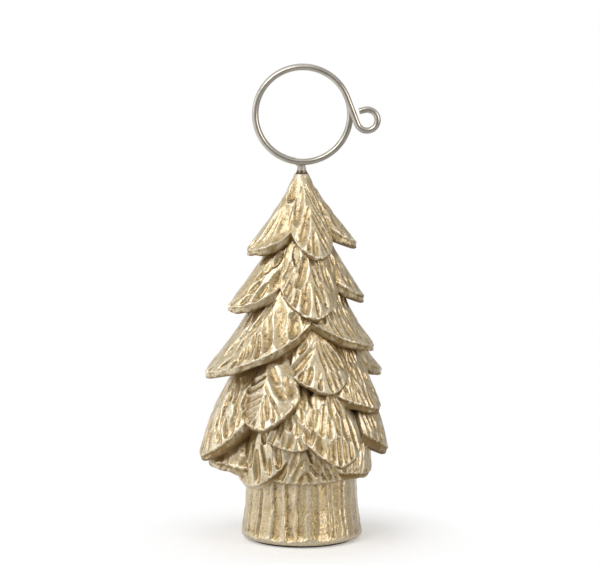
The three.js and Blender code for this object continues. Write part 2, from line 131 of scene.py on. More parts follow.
# Gouges placed on the front boughs, by tier and bough: from (across, down) to (across, down) in
# percent of the bough, width (mm) and depth (PLACED_FULL_DEPTH stands for the gouge depth).
PLACED = {
    (0, 0): [
        (88, 4, 78, 40, 1.7, 110), (72, 46, 72, 98, 2.2, 110), (93, 55, 88, 95, 1.2, 80),
        (50, 40, 46, 97, 1.7, 70), (35, 45, 25, 88, 0.9, 60), (12, 80, 3, 97, 1.2, 80),
        (25, 85, 15, 99, 1.0, 70), (60, 25, 57, 33, 0.5, 80), (62, 8, 58, 24, 0.8, 60),
    ],
    (0, 1): [
        (-75, 6, -88, 50, 1.5, 80), (-42, 17, -68, 74, 2.0, 120), (-5, 40, -46, 96, 1.9, 110),
        (3, 64, -11, 101, 1.4, 100), (-60, 85, -48, 100, 1.2, 60), (-18, 76, -26, 100, 1.0, 80),
        (2, 15, 50, 58, 0.9, 70), (10, 12, 70, 55, 0.8, 60), (2, 45, 38, 92, 0.9, 70),
        (4, 60, 25, 98, 0.8, 60), (15, 42, 55, 88, 0.8, 60), (30, 30, 70, 75, 0.8, 60),
    ],
    (1, 0): [
        (70, 74, 55, 98, 1.1, 90), (40, 84, 30, 100, 1.2, 80), (47, 66, 35, 82, 1.1, 80),
        (42, 50, 35, 63, 0.9, 70), (96, 66, 93, 88, 0.9, 70), (86, 66, 84, 94, 1.2, 60),
        (6, 94, 2, 101, 1.0, 110), (86, 27, 72, 50, 1.3, 90), (15, 90, 6, 100, 0.9, 80),
        (60, 36, 52, 56, 1.3, 60),
    ],
    (1, 1): [
        (-46, 14, -44, 40, 1.7, 95), (-11, 27, -34, 68, 2.3, 130), (-58, 36, -84, 92, 1.4, 75),
        (-54, 55, -70, 99, 1.7, 110), (-36, 70, -46, 100, 1.2, 95), (-9, 56, -20, 101, 1.95, 120),
        (-55, 82, -60, 97, 0.7, 70), (4, 58, 28, 92, 0.8, 70), (25, 58, 34, 90, 0.8, 60),
        (28, 78, 33, 93, 0.8, 90), (5, 66, 8, 99, 0.8, 70), (3, 34, 20, 66, 0.8, 60),
        (25, 28, 32, 58, 0.9, 50), (45, 35, 54, 72, 0.9, 50), (60, 45, 70, 82, 0.9, 50),
    ],
    (2, 0): [
        (55, 30, 68, 97, 2.6, 85), (41, 45, 52, 91, 2.1, 115), (38, 66, 44, 96, 1.0, 110),
        (31, 60, 37, 93, 1.0, 85), (78, 54, 81, 98, 2.3, 115), (26, 91, 24, 100, 0.8, 120),
        (20, 86, 13, 98, 1.1, 100), (28, 78, 30, 98, 1.1, 90), (31, 74, 34, 92, 0.8, 80),
        (22, 62, 20, 80, 0.9, 80), (12, 66, 9, 84, 0.9, 80), (5, 92, 2, 100, 0.7, 100),
        (44, 26, 30, 52, 0.8, 80), (36, 30, 22, 58, 0.8, 80), (30, 42, 26, 62, 0.9, 70),
        (16, 50, 12, 72, 0.8, 70), (92, 34, 93, 66, 1.2, 60),
    ],
    (3, 0): [
        (-20, 42, -74, 100, 1.6, 100), (-42, 78, -55, 101, 1.1, 80), (-22, 68, -42, 101, 1.4, 90),
        (-32, 32, -50, 52, 1.0, 70), (-75, 60, -92, 90, 1.0, 70), (-72, 55, -80, 88, 1.2, 60),
        (-10, 82, -18, 101, 1.1, 70), (5, 30, 10, 70, 0.9, 80), (18, 30, 28, 72, 1.0, 80),
        (35, 32, 48, 75, 1.1, 80), (52, 35, 66, 80, 1.1, 80), (8, 66, 8, 100, 1.0, 80),
        (24, 72, 24, 100, 1.0, 70), (42, 76, 40, 100, 1.0, 70),
    ],
    (4, 0): [
        (-2, 41, -85, 57, 1.3, 75), (-8, 50, -98, 68, 1.3, 80), (-5, 61, -98, 80, 1.3, 80),
        (-8, 68, -95, 88, 1.2, 80), (-15, 75, -85, 95, 1.2, 80), (-20, 82, -60, 99, 1.1, 75),
        (-20, 88, -35, 101, 1.0, 70), (22, 30, 44, 58, 1.9, 90), (30, 48, 62, 80, 1.7, 90),
        (76, 55, 78, 86, 1.8, 80), (12, 63, 14, 90, 1.3, 90), (8, 52, 48, 98, 0.8, 70),
        (30, 80, 28, 97, 1.0, 70), (2, 70, 4, 97, 0.9, 70),
    ],
    (5, 0): [
        (34, 65, 49, 94, 0.8, 130), (55, 72, 57, 99, 1.3, 100), (98, 46, 69, 55, 0.9, 90),
        (99, 63, 66, 72, 1.1, 110), (99, 77, 73, 87, 0.9, 100), (99, 88, 78, 92, 0.8, 90),
        (57, 36, 60, 82, 1.0, 110), (34, 38, 36, 53, 0.8, 90), (45, 34, 47, 58, 0.8, 80),
        (28, 45, 34, 82, 0.9, 90), (20, 60, 25, 82, 0.8, 80), (62, 68, 66, 92, 0.9, 80),
        (43, 70, 52, 96, 0.8, 80), (30, 80, 37, 95, 0.9, 80), (14, 80, 20, 97, 0.9, 60),
        (35, 82, 43, 98, 0.8, 70), (6, 76, 8, 96, 0.8, 50), (70, 56, 68, 74, 0.9, 90),
        (84, 52, 72, 62, 0.8, 80),
    ],
    (6, 0): [
        (-88, 52, -86, 92, 2.0, 90), (-66, 48, -66, 94, 1.6, 100), (-76, 54, -76, 96, 1.2, 80),
        (-50, 44, -52, 72, 1.5, 90), (-34, 36, -36, 72, 1.6, 100), (-42, 73, -40, 101, 2.4, 80),
        (-16, 44, -16, 70, 1.8, 80), (-12, 72, -14, 101, 1.6, 100), (-24, 80, -22, 101, 1.0, 80),
        (4, 66, 3, 99, 1.3, 100), (8, 42, 12, 66, 1.6, 80), (18, 64, 18, 99, 1.3, 80),
        (34, 50, 36, 78, 2.2, 80), (36, 76, 36, 100, 1.4, 70), (60, 50, 62, 95, 1.6, 70),
        (-4, 24, -2, 48, 1.4, 80), (30, 22, 38, 50, 1.3, 90),
    ],
    (7, 1): [
        (16, 50, 21, 95, 1.75, 115), (62, 54, 62, 97, 1.65, 115), (75, 22, 58, 52, 1.9, 90),
        (28, 42, 37, 82, 0.9, 130), (33, 26, 36, 42, 1.2, 80), (-12, 68, -15, 84, 1.0, 70),
        (84, 56, 86, 92, 1.2, 80), (42, 66, 44, 94, 0.9, 90), (2, 40, 2, 72, 1.2, 70),
        (-40, 50, -42, 92, 1.2, 70),
    ],
}

# Gouges of the stump from the left round to the left again: azimuth of the ridge on its left
# (degrees), depth (percent of the stump gouge depth) and tilt of its floor (percent, deeper on the
# right where it is above 0). Those of the unseen back are of the same kind.
STUMP_GOUGES = [
    (-78, 60, 20), (-67, 50, 40), (-59.6, 60, 60), (-49, 110, -50), (-44, 50, 70),
    (-32.5, 150, -70), (-17, 150, -70), (-5.5, 120, -60), (6.4, 25, 60), (17, 40, 60), (28, 50, 30),
    (32.5, 25, 60), (44, 40, 40), (50, 20, 30), (61, 45, 0), (73, 50, 0), (88, 90, -30),
    (100, 80, 40), (109, 120, 50), (124, 80, -30), (135, 140, 50), (151, 70, 0), (160, 90, 30),
    (172, 140, -50), (188, 80, 40), (199, 130, 50), (215, 80, -30), (226, 80, 40), (236, 120, -40),
    (250, 90, 40), (262, 70, 0), (271, 80, 30),
]

# Sections of the casting from the top, with their tiers. Each is joined by itself, so that its
# carving stays fine.
SECTIONS = [
    ("gold_crown_top", (0, 1)),
    ("gold_crown_middle", (2, 3)),
    ("gold_crown_low", (4, 5, 6)),
    ("gold_skirt_and_stump", (7,)),
]
SECTION_TRIANGLES = 185000
CORE_STEPS, STUMP_STEPS = 96, 300

# Core: share of its radius that the lower sections fill, room round the stem, flare of the bore.
PLAIN_CORE_SHARE, STEM_ROOM = 0.93, 0.0002
BORE_FLARE, BORE_FLARE_DEPTH = 0.00045, 0.0012

# Bough: how soon it fans out, and its grid (cell in voxels, least number of cells).
FAN_RATE, GRID_CELL, LEAST_CELLS = 1.6, 1.2, 12

# Bough wall: its shares at the front, to the sides and at their corners; ripples (share, waves,
# turns by azimuth); the underside's angle at the front and to the sides (degrees); the share of the
# underside that is heel, and how deep the rest is buried.
WALL_FRONT, WALL_SIDE, WALL_CORNER = 0.62, 0.38, 0.5
WALL_RIPPLES = ((0.1, 9, 1), (0.07, 21, 2))
BACK_FRONT, BACK_SIDE = 8, 30
HEEL_SHARE, BURIED = 0.2, 0.75

# Lower edge of a bough: its rounds (shares of the wall), and the rim with shallower carving. The
# carving fades in below the root.
ROUND_UPPER, ROUND_UNDER = 0.25, 0.3
RIM_WIDTH, RIM_CARVING, ROOT_FADE = 0.0007, 0.7, 9

# Placed gouge: half length (share of its run), half width (metres for a mm in the table), the
# table's depth that is the whole gouge depth, and the tilt of its floor.
PLACED_HALF_LENGTH, PLACED_HALF_WIDTH = 0.57, 0.00072
PLACED_FULL_DEPTH, PLACED_TILT = 105, -0.55

# Scattered gouge: ranges of its place across its column and along its row, of its length, width and
# depth (shares), of its lean off the vein (degrees) and of its tilt; then its usual sizes (shares).
CUT_ACROSS, CUT_ALONG = (0.35, 0.65), (-0.15, 0.15)
CUT_LENGTH, CUT_WIDTH, CUT_DEPTH = (0.6, 1.25), (0.8, 1.4), (0.4, 1.3)
CUT_LEAN, CUT_TILT = (-14, 14), (-0.7, 0.35)
ROW_STEP, CUT_HALF_LENGTH, CUT_HALF_WIDTH, MIDRIB_LAP = 0.8, 0.62, 0.5, 0.2

# Gouges at more than VEINED degrees to the midrib start beside it. On a side where the two places
# across of a placed gouge add up to more than PLACED_SIDE, the scattered ones are shallow.
VEINED, MIDRIB_ROOM = 20, 0.3
PLACED_SIDE, BESIDE_PLACED = 40, 0.3
NEEDLE_WIDTH, NEEDLE_DEPTH = 0.36, 0.28

# Floor of a gouge along its length: gain, powers of its way in and out, and half width.
FLOOR_GAIN, FLOOR_IN, FLOOR_OUT, FLOOR_SIDE = 1.35, 0.55, 4, 1.2

# Stump: reach into the crown, distance of its rings, the knee in its side (shares of the way to the
# waist and of the height), the corner of its foot (radians), and its inside that stays uncut.
STUMP_LAP, STUMP_RING = 0.003, 0.0004
STUMP_KNEE, FOOT_CORNER, STUMP_CORE = (0.6, 0.35), 0.25, 0.4

# Stump gouges: height above the foot where they start, its spread, length of the run-out; wander of
# the ridges (degrees, by height, by angle); ripples of the floors and of the foot.
RUN_OUT_START, RUN_OUT_SPREAD, RUN_OUT_LENGTH = 0.0004, 0.0008, 0.0018
RIDGE_WANDER = ((0.9, 260, 0.11), (0.4, 900, 0.3))
FLOOR_RIPPLE, FOOT_RIPPLE = 0.00005, 0.00012

# Relief and shelter, which steer the gold's painted shade and painted highlight. The stump below
# the crown is sheltered less.
RELIEF_REACH, RELIEF_PASSES = 0.00016, 20
SHELTER_REACH, SHELTER_LIFT, SHELTER_STRIDE = 0.009, 0.00012, 4
SHELTER_RAYS, GOLDEN_ANGLE, NEAREST = 12, 2.39996, 3
FACING_DOWN, FACING_DOWN_MOST = -3.2, 0.85
STUMP_TOP, STUMP_SHELTER = (0.015, 0.018), (0.3, 1.0)

# Wire: where the stem joins the ring, sweeps of the front turn and the curl, slit at the hinge and
# step of the ring (degrees), facets, round of the end; edges of wire and felt that stay sharp.
STEM_JOINS, FRONT_SWEEP, CURL_SWEEP = 12, 249, 263
HINGE_SLIT, RING_STEP = 0.05, 3
WIRE_FACETS, WIRE_END_ROUND = 20, 0.00012
WIRE_SHARP, FELT_SHARP = math.radians(50), math.radians(60)

# Adhesive bead: room to the wire, skin at its top, power of its hollow flank, swells (share, lobes,
# phase), and how it climbs on one side (share, phase).
BEAD_ROOM, BEAD_SKIN, BEAD_FLANK = 0.00005, 0.00006, 0.55
BEAD_SWELLS = ((0.08, 2, 0.6), (0.05, 3, 2))
BEAD_CLIMB = (0.14, 2.4)

# Felt: round of its edges, and how ragged its outline is (share).
FELT_EDGE, FELT_RAGGED = 0.00018, 0.004

# Soft boxes: place, width and height (metres), power (watts) and tone.
LAMPS = {
    "key_box": ((-0.42, -0.60, 0.62), 0.6, 0.6, 2.8, (1, 1, 1)),
    "side_box": ((-0.80, -0.10, 0.18), 0.5, 0.36, 0.5, (1, 1, 1)),
    "fill_box": ((0.70, -0.45, 0.25), 0.5, 0.5, 2.1, (1.0, 0.92, 0.82)),
}
LAMP_AIM = (0, 0, 0.06)

# Floor: its radius, the strip where it turns from shaded to white, and the shaded floor's look.
FLOOR_RADIUS, SHADED_FLOOR, WHITE_FLOOR = 0.9, 0.023, 0.044
SHADED_GLOW, SHADED_TONE = 0.26, (0.98, 0.98, 0.98, 1.0)

# Camera of the photograph: frame width and focal length (pixels), sensor (mm), place and the height
# that it looks at.
FRAME_WIDTH, FOCAL_LENGTH, SENSOR = 600, 2824.4, 36.0
EYE, LOOK_HEIGHT = (-0.000375, -0.7, 0.1526), 0.06483


def length(label, text, default):
    """A length in metres."""
    return FloatProperty(name=label, description=text, default=default, min=0.0, unit="LENGTH",
                         subtype="DISTANCE", precision=5)


def colour(label, text, default):
    """A scene linear colour."""
    return FloatVectorProperty(name=label, description=text, default=default, size=3, min=0.0,
                               max=1.0, subtype="COLOR")


class HolderSizes(bpy.types.PropertyGroup):
    """Sizes of the holder, in the frame's metres."""

    tree_height: length("Tree height", "Height of the tree's tip above the table", TREE_HIGH.z)
    crown_radius: length("Crown radius", "Reach of the longest bough", 0.0266)
    tip_diameter: length("Tip diameter", "Width of the cut tip that takes the wire", 0.0036)
    bough_wall: length("Bough wall", "Thickness of a bough at its lower edge", 0.0018)
    gouge_width: length("Gouge width", "Width of a gouge cut on the boughs", 0.0030)
    gouge_length: length("Gouge length", "Length of a gouge cut on the boughs", 0.0086)
    gouge_depth: length("Gouge depth", "Depth of a gouge cut on the boughs", 0.0010)
    voxel: length("Casting detail", "Size of the cells that join the boughs", 0.00016)
    foot_diameter: length("Foot diameter", "Width of the stump at the table", 0.0304)
    waist_diameter: length("Waist diameter", "Width of the stump below the crown", 0.0272)
    foot_round: length("Foot round", "Radius of the stump's lower edge", 0.0014)
    stump_gouge_depth: length("Stump gouge depth", "Depth of the stump's upright gouges", 0.0005)
    pad_thickness: length("Pad thickness", "Thickness of the felt under the foot", TREE_LOW.z)
    pad_inset: length("Pad inset", "Distance of the felt's edge from the flat of the foot", 0.0008)
    wire_diameter: length("Wire diameter", "Thickness of the clip's wire", 0.0016)
    ring_diameter: length("Ring diameter", "Width of the ring at the middle of the wire", 0.0235)
    ring_above_tip: length("Ring above tip", "Height of the ring's foot above the tip", 0.00305)
    ring_side_shift: length("Ring side shift", "Distance of its middle from the axis", 0.0003)
    turn_gap: length("Turn gap", "Room between the ring's turns for a card", 0.0003)
    curl_diameter: length("Curl diameter", "Width of the curl at the middle of the wire", 0.0052)
    curl_lead: length("Curl lead", "Straight wire between the ring and the curl", 0.0069)
    curl_mouth: length("Curl mouth", "Opening between the wire's end and the lead", 0.00075)
    stem_depth: length("Stem depth", "Length of wire inside the tree", 0.014)
    bead_diameter: length("Adhesive bead diameter", "Width of the adhesive at the tip", 0.0032)
    bead_rise: length("Adhesive bead rise", "Height of the adhesive above the tip", 0.0021)


class HolderColours(bpy.types.PropertyGroup):
    """Colours of the holder's finishes and of the stage."""

    # Painted shade: the gold in the cuts.
    gold_recess_shade: colour("Gold in recesses", "Painted shade in the cuts", (0.45, 0.31, 0.122))
    gold_body: colour("Gold", "Champagne gold of the open faces", (0.59, 0.45, 0.222))
    # Painted highlight: the gold on the crests.
    gold_crest_highlight: colour("Gold on ridges", "Painted highlight on the crests", (0.71, 0.605, 0.41))
    # Painted shade: the gold where the casting shelters it or where it faces down.
    gold_sheltered_shade: colour("Painted shade where sheltered", "Darker gold in sheltered places", (0.235, 0.142, 0.045))
    gold_fleck: colour("Flecks", "Brown flecks in the cuts", (0.16, 0.105, 0.05))
    wire_bright: colour("Wire", "Nickel of the clip", (0.58, 0.54, 0.475))
    wire_dull: colour("Dull wire", "Handled patches of the clip", (0.47, 0.435, 0.375))
    adhesive: colour("Adhesive", "Amber of the adhesive bead", (0.14, 0.075, 0.022))
    adhesive_thin: colour("Thin adhesive", "Clear adhesive on the stem", (0.52, 0.48, 0.40))
    felt: colour("Felt", "Felt under the foot", (0.035, 0.027, 0.02))
    floor: colour("Floor", "Pale studio floor", (0.86, 0.86, 0.86))


def core_profile(sizes):
    """Heights and radii of the core from the bottom up."""
    rows = [(sizes.tree_height, sizes.tip_diameter / 2)]
    rows += [(sizes.tree_height * h / 100, sizes.crown_radius * r / 100) for h, r in CORE]
    rows.reverse()
    return [z for z, _ in rows], [r for _, r in rows]


def core_radius(sizes, z):
    """Radius of the core at a height."""
    heights, radii = core_profile(sizes)
    return np.interp(z, heights, radii)


def plain_core(sizes, low, high):
    """Profile of a stretch of the core, a little thinner, so that it stays inside."""
    heights = core_profile(sizes)[0]
    low = max(low, heights[0])
    levels = [low] + [z for z in heights if low < z < high] + [high]
    side = [(PLAIN_CORE_SHARE * float(core_radius(sizes, z)), z) for z in levels]
    return [(0, low), *side, (0, high)]


def bored_core(sizes, low):
    """Profile of the core above a height, with the bore for the wire's stem."""
    heights, radii = core_profile(sizes)
    top, bore = sizes.tree_height, sizes.wire_diameter / 2 + STEM_ROOM
    floor = top - sizes.stem_depth - STEM_ROOM
    profile = [(0, low), (float(core_radius(sizes, low)), low)]
    profile += [(r, z) for r, z in zip(radii, heights) if z > low]
    profile += [(bore + BORE_FLARE, top), (bore, top - BORE_FLARE_DEPTH), (bore, floor), (0, floor)]
    return profile


def mix(a, b, share):
    """The value that lies a share of the way from a to b."""
    return a + (b - a) * share


def rounding(distance, radius):
    """Drop of a rounded edge at a distance from it."""
    inside = radius - np.minimum(distance, radius)
    return radius - np.sqrt(radius * radius - inside * inside)


class Bough:
    """One bough: a slab that grows from the core, leans outward and ends in an edge that rises to
    its sides.
    """

    def __init__(self, sizes, tier, index):
        root, self.flare, self.apex, sag, self.full, bow = TIERS[tier][0]
        (self.azimuth, self.twist, reach, tip, self.spread, rise, self.vein,
         widths) = TIERS[tier][1][index]
        self.bow = (bow, bow * LATE_EDGES.get((tier, index), 1.0))
        self.sizes, self.placed = sizes, PLACED.get((tier, index), [])
        height, crown = sizes.tree_height / 100, sizes.crown_radius / 100
        self.root_z, self.tip_z = root * height, tip * height
        self.reach, self.sag = reach * crown, sag * crown
        self.rise = [share * height for share in rise]
        self.widths = [width * 0.001 for width in widths]
        self.root_radius = core_radius(sizes, self.root_z)
        out, fall = self.reach - self.root_radius, self.root_z - self.tip_z
        self.lean, self.slope = math.atan2(out, fall), math.hypot(out, fall)
        self.dice = random.Random((tier * 10 + index) * 31 + 7)

    def lay(self, across, down):
        """Lays grid places across (-1 to 1) and down (0 root to 1 edge) on the uncut bough.

        Gives angle, radius, height, distance from the midrib, distance down the slope and distance
        to the edge.
        """
        right, share = across > 0, np.abs(across)
        edge_z = self.tip_z + np.where(right, self.rise[1] * share ** self.bow[1],
                                       self.rise[0] * share ** self.bow[0])
        z = mix(self.root_z, edge_z, down)
        fall = (self.root_z - z) / (self.root_z - self.tip_z)
        ridge = mix(self.root_radius, self.reach, fall) + self.sag * np.sin(np.pi * fall)
        cone = self.root_radius + self.flare * (self.root_z - z)
        radius = mix(ridge, cone, share ** self.full)
        fan = mix(self.apex, 1, np.minimum(1, down * FAN_RATE))
        turn = np.radians(np.where(right, self.spread[1], self.spread[0])) * across * fan
        to_edge = (1 - down) * (self.root_z - edge_z) / math.cos(self.lean)
        angle = np.radians(self.azimuth + self.twist * (1 - fall)) + turn
        return angle, radius, z, turn * radius, fall * self.slope, to_edge

    def placed_cuts(self):
        """The placed gouges, as middle, direction, half length, half width, depth and tilt."""
        cuts = []
        for a0, d0, a1, d1, width, depth in self.placed:
            s, d = self.lay(np.array([a0, a1]) / 100, np.array([d0, d1]) / 100)[3:5]
            run = math.hypot(s[1] - s[0], d[1] - d[0])
            middle, heading = (s.mean(), d.mean()), ((s[1] - s[0]) / run, (d[1] - d[0]) / run)
            deepest = self.sizes.gouge_depth * depth / PLACED_FULL_DEPTH
            cuts.append((middle, heading, run * PLACED_HALF_LENGTH, width * PLACED_HALF_WIDTH,
                         deepest, PLACED_TILT))
        return cuts

    def scattered_cuts(self, side, half_width, width):
        """Gouges of one width over one side of the bough, in staggered rows along its vein."""
        dice, scale = self.dice, width / self.sizes.gouge_width
        turn = math.radians(self.vein) * side
        along = np.array([math.sin(turn), math.cos(turn)])
        beside = np.array([math.cos(turn), -math.sin(turn)])
        step = self.sizes.gouge_length * ROW_STEP * math.sqrt(scale)
        reach = half_width + self.slope
        columns = int(reach / width) + 2
        cuts = []
        for column in range(-columns, columns):
            start = dice.uniform(0, step)
            for row in range(-2, int(reach / step) + 2):
                middle = beside * (column + dice.uniform(*CUT_ACROSS)) * width
                middle = middle + along * (start + (row + dice.uniform(*CUT_ALONG)) * step)
                size, wide, deep, lean, tilt = [
                    dice.uniform(*limits)
                    for limits in (CUT_LENGTH, CUT_WIDTH, CUT_DEPTH, CUT_LEAN, CUT_TILT)]
                heading = turn + math.radians(lean)
                inside = -width * MIDRIB_LAP < middle[0] * side < half_width + width
                if inside and -step < middle[1] < self.slope + step:
                    cuts.append((middle, (math.sin(heading), math.cos(heading)),
                                 step * CUT_HALF_LENGTH * size, width * CUT_HALF_WIDTH * wide,
                                 self.sizes.gouge_depth * scale * deep, tilt))
        return cuts

    def carving(self, s, d):
        """Depth of the gouges and of the fine needle strokes at each place."""
        half_width = float(np.abs(s).max())
        placed = gouge_depth(self.placed_cuts(), s, d)
        carved, needles = np.zeros_like(s), np.zeros_like(s)
        for side, width in zip((-1, 1), self.widths):
            depth = gouge_depth(self.scattered_cuts(side, half_width, width), s, d)
            if self.vein > VEINED:
                depth = depth * np.clip(s * side / (MIDRIB_ROOM * self.sizes.gouge_width), 0, 1)
            if any((stroke[0] + stroke[2]) * side > PLACED_SIDE for stroke in self.placed):
                depth = depth * BESIDE_PLACED
            carved = np.maximum(carved, depth)
            strokes = self.scattered_cuts(side, half_width, NEEDLE_WIDTH * self.sizes.gouge_width)
            needles = np.maximum(needles, gouge_depth(strokes, s, d))
        return np.maximum(carved, placed) + NEEDLE_DEPTH * needles

    def upper(self, across, down):
        """Points of the carved upper face."""
        angle, radius, z, s, d, to_edge = self.lay(across, down)
        rim = np.clip(to_edge / RIM_WIDTH, RIM_CARVING, 1)
        carved = self.carving(s, d) * np.minimum(1, down * ROOT_FADE) * rim
        carved = carved + rounding(to_edge, self.sizes.bough_wall * ROUND_UPPER)
        return polar(angle, radius - carved * math.cos(self.lean), z - carved * math.sin(self.lean))

    def under(self, across, down):
        """Points of the underside, which runs from the lower edge back into the core."""
        angle, radius, z, _, _, to_edge = self.lay(across, down)
        heel = abs(math.sin(math.radians(self.azimuth)))
        ripple = sum(size * np.sin(waves * across + turns * self.azimuth)
                     for size, waves, turns in WALL_RIPPLES)
        wall = self.sizes.bough_wall * (WALL_FRONT + WALL_SIDE * heel
                                        + WALL_CORNER * heel * np.abs(across) + ripple)
        wall = wall - rounding(to_edge, self.sizes.bough_wall * ROUND_UNDER)
        back = self.lean + math.radians(BACK_FRONT + BACK_SIDE * heel)
        under_z = z - wall * math.sin(back)
        rim = radius - wall * math.cos(back)
        buried = np.minimum(rim, core_radius(self.sizes, under_z)) * BURIED
        bare = 1 - HEEL_SHARE
        heeled = mix(buried, rim, (down - bare) / HEEL_SHARE)
        return polar(angle, np.where(down > bare, heeled, buried), under_z)

    def add_to(self, bm):
        """Adds the bough as a closed slab: a grid, extruded once and laid on its two faces."""
        cell = self.sizes.voxel * GRID_CELL
        rows = max(LEAST_CELLS, int(self.slope / cell))
        columns = max(LEAST_CELLS, int(math.radians(sum(self.spread)) * self.reach / cell))
        lower = bmesh.ops.create_grid(bm, x_segments=columns, y_segments=rows, size=1.0)["verts"]
        faces = list({face for vert in lower for face in vert.link_faces})
        grown = bmesh.ops.extrude_face_region(bm, geom=faces)["geom"]
        upper = [item for item in grown if isinstance(item, bmesh.types.BMVert)]
        for verts, shape in ((upper, self.upper), (lower, self.under)):
            flat = np.array([vert.co[:2] for vert in verts])
            for vert, point in zip(verts, shape(flat[:, 0], (1 - flat[:, 1]) / 2).tolist()):
                vert.co = point


def gouge_depth(cuts, s, d):
    """Depth of the deepest cut at each place (s across, d down the bough).

    A cut is deepest near its lower end.
    """
    depth = np.zeros_like(s)
    for middle, (ax, ay), half_length, half_width, deepest, tilt in cuts:
        u = ((s - middle[0]) * ax + (d - middle[1]) * ay) / (2 * half_length) + 0.5
        x = ((s - middle[0]) * ay - (d - middle[1]) * ax) / half_width
        near = (u > 0) & (u < 1) & (np.abs(x) < FLOOR_SIDE)
        un, xn = u[near], x[near]
        floor = FLOOR_GAIN * un ** FLOOR_IN * (1 - un ** FLOOR_OUT) - xn * xn + tilt * xn
        depth[near] = np.maximum(depth[near], deepest * floor)
    return depth


def polar(angle, radius, height):
    """Points at angles from the front (-Y), towards +X."""
    return np.stack([radius * np.sin(angle), -radius * np.cos(angle), height], axis=1)


def joined_to(seeds):
    """All vertices that edges join to some vertices, and these."""
    reached, front = set(seeds), set(seeds)
    while front:
        front = {edge.other_vert(vert) for vert in front for edge in vert.link_edges} - reached
        reached |= front
    return reached


def add_turned(bm, profile, steps):
    """A body turned about the vertical axis from (radius, height) pairs, closed at its poles."""
    verts = [bm.verts.new((r, 0, z)) for r, z in profile]
    edges = [bm.edges.new(pair) for pair in zip(verts, verts[1:])]
    bmesh.ops.spin(bm, geom=verts + edges, cent=(0, 0, 0), axis=(0, 0, 1), angle=2 * math.pi,
                   steps=steps, use_merge=True)
    reached = joined_to(verts)
    bmesh.ops.remove_doubles(bm, verts=list(reached), dist=1e-7)
    return [vert for vert in reached if vert.is_valid]


def stump_profile(sizes):
    """Outline of the stump from the axis at the foot to the axis inside the crown."""
    low, top = sizes.pad_thickness, sizes.tree_height * CORE[-1][0] / 100 + STUMP_LAP
    foot, waist, soft = sizes.foot_diameter / 2, sizes.waist_diameter / 2, sizes.foot_round
    profile = [(r, low) for r in np.linspace(0, foot - soft, 8)]
    profile += [(foot - soft + soft * math.sin(a), low + soft - soft * math.cos(a))
                for a in np.linspace(FOOT_CORNER, math.pi / 2, 6)]
    levels = [low + soft, mix(low + soft, top, STUMP_KNEE[1]), top]
    radii = [foot, mix(foot, waist, STUMP_KNEE[0]), waist]
    profile += [(float(np.interp(z, levels, radii)), float(z))
                for z in np.arange(low + soft + STUMP_RING, top, STUMP_RING)]
    return profile + [(waist, top), (0, top)]


def carve_stump(sizes, verts):
    """Cuts the upright gouges into the stump's side: wide floors between narrow ridges, which run
    out in the round of the foot.
    """
    dice = random.Random(11)
    low = sizes.pad_thickness
    first = STUMP_GOUGES[0][0]
    ends = [(dice.uniform(0.0, RUN_OUT_SPREAD), dice.uniform(0.0, 1.0)) for _ in STUMP_GOUGES]
    for vert in verts:
        radius = math.hypot(vert.co.x, vert.co.y)
        if radius < sizes.waist_diameter * STUMP_CORE:
            continue
        z = vert.co.z
        azimuth = math.degrees(math.atan2(vert.co.x, -vert.co.y))
        azimuth += sum(size * math.sin(z * by_height + azimuth * by_angle)
                       for size, by_height, by_angle in RIDGE_WANDER)
        azimuth = (azimuth - first) % 360 + first
        index = sum(azimuth >= gouge[0] for gouge in STUMP_GOUGES) - 1
        left, depth, tilt = STUMP_GOUGES[index]
        right = STUMP_GOUGES[index + 1][0] if index + 1 < len(STUMP_GOUGES) else first + 360
        x = (azimuth - (left + right) / 2) / ((right - left) / 2)
        run_out, phase = ends[index]
        deep = sizes.stump_gouge_depth * depth / 100
        lift = min(1.0, max(0.0, (z - low - RUN_OUT_START - run_out) / RUN_OUT_LENGTH))
        lift = lift * lift * (3 - 2 * lift)
        cut = deep * (1 - x ** 4) * (1 + tilt / 100 * x) * lift
        cut += FLOOR_RIPPLE * math.sin(z * 2600 + 7 * phase) * math.sin(azimuth * 1.9)
        cut -= FOOT_RIPPLE * math.sin(math.radians(azimuth) * 5 + 1.0) * (1 - lift)
        vert.co.x *= (radius - cut) / radius
        vert.co.y *= (radius - cut) / radius


def keep_largest_shell(bm):
    """Removes every shell but the largest, such as a pocket closed in between boughs."""
    unseen, shells = set(bm.verts), []
    while unseen:
        shells.append(joined_to([next(iter(unseen))]))
        unseen -= shells[-1]
    shells.sort(key=len)
    for shell in shells[:-1]:
        bmesh.ops.delete(bm, geom=list(shell), context="VERTS")


def write_relief(mesh):
    """Writes how far each point stands above (to 1) or below (to -1) the carving round it."""
    count = len(mesh.vertices)
    points = np.empty(count * 3)
    normals = np.empty(count * 3)
    edges = np.empty(len(mesh.edges) * 2, dtype=np.int32)
    mesh.vertices.foreach_get("co", points)
    mesh.vertex_normals.foreach_get("vector", normals)
    mesh.edges.foreach_get("vertices", edges)
    points, normals, edges = points.reshape(-1, 3), normals.reshape(-1, 3), edges.reshape(-1, 2)
    a, b = edges[:, 0], edges[:, 1]
    links = np.bincount(a, minlength=count) + np.bincount(b, minlength=count)
    smooth = points.copy()
    for _ in range(RELIEF_PASSES):
        total = np.stack([
            np.bincount(a, smooth[b, i], count) + np.bincount(b, smooth[a, i], count)
            for i in range(3)], axis=1)
        smooth = total / links[:, None]
    relief = np.einsum("ij,ij->i", points - smooth, normals) / RELIEF_REACH
    relief = np.clip(relief, -1, 1).astype(np.float32)
    mesh.attributes.new("relief", "FLOAT", "POINT").data.foreach_set("value", relief)


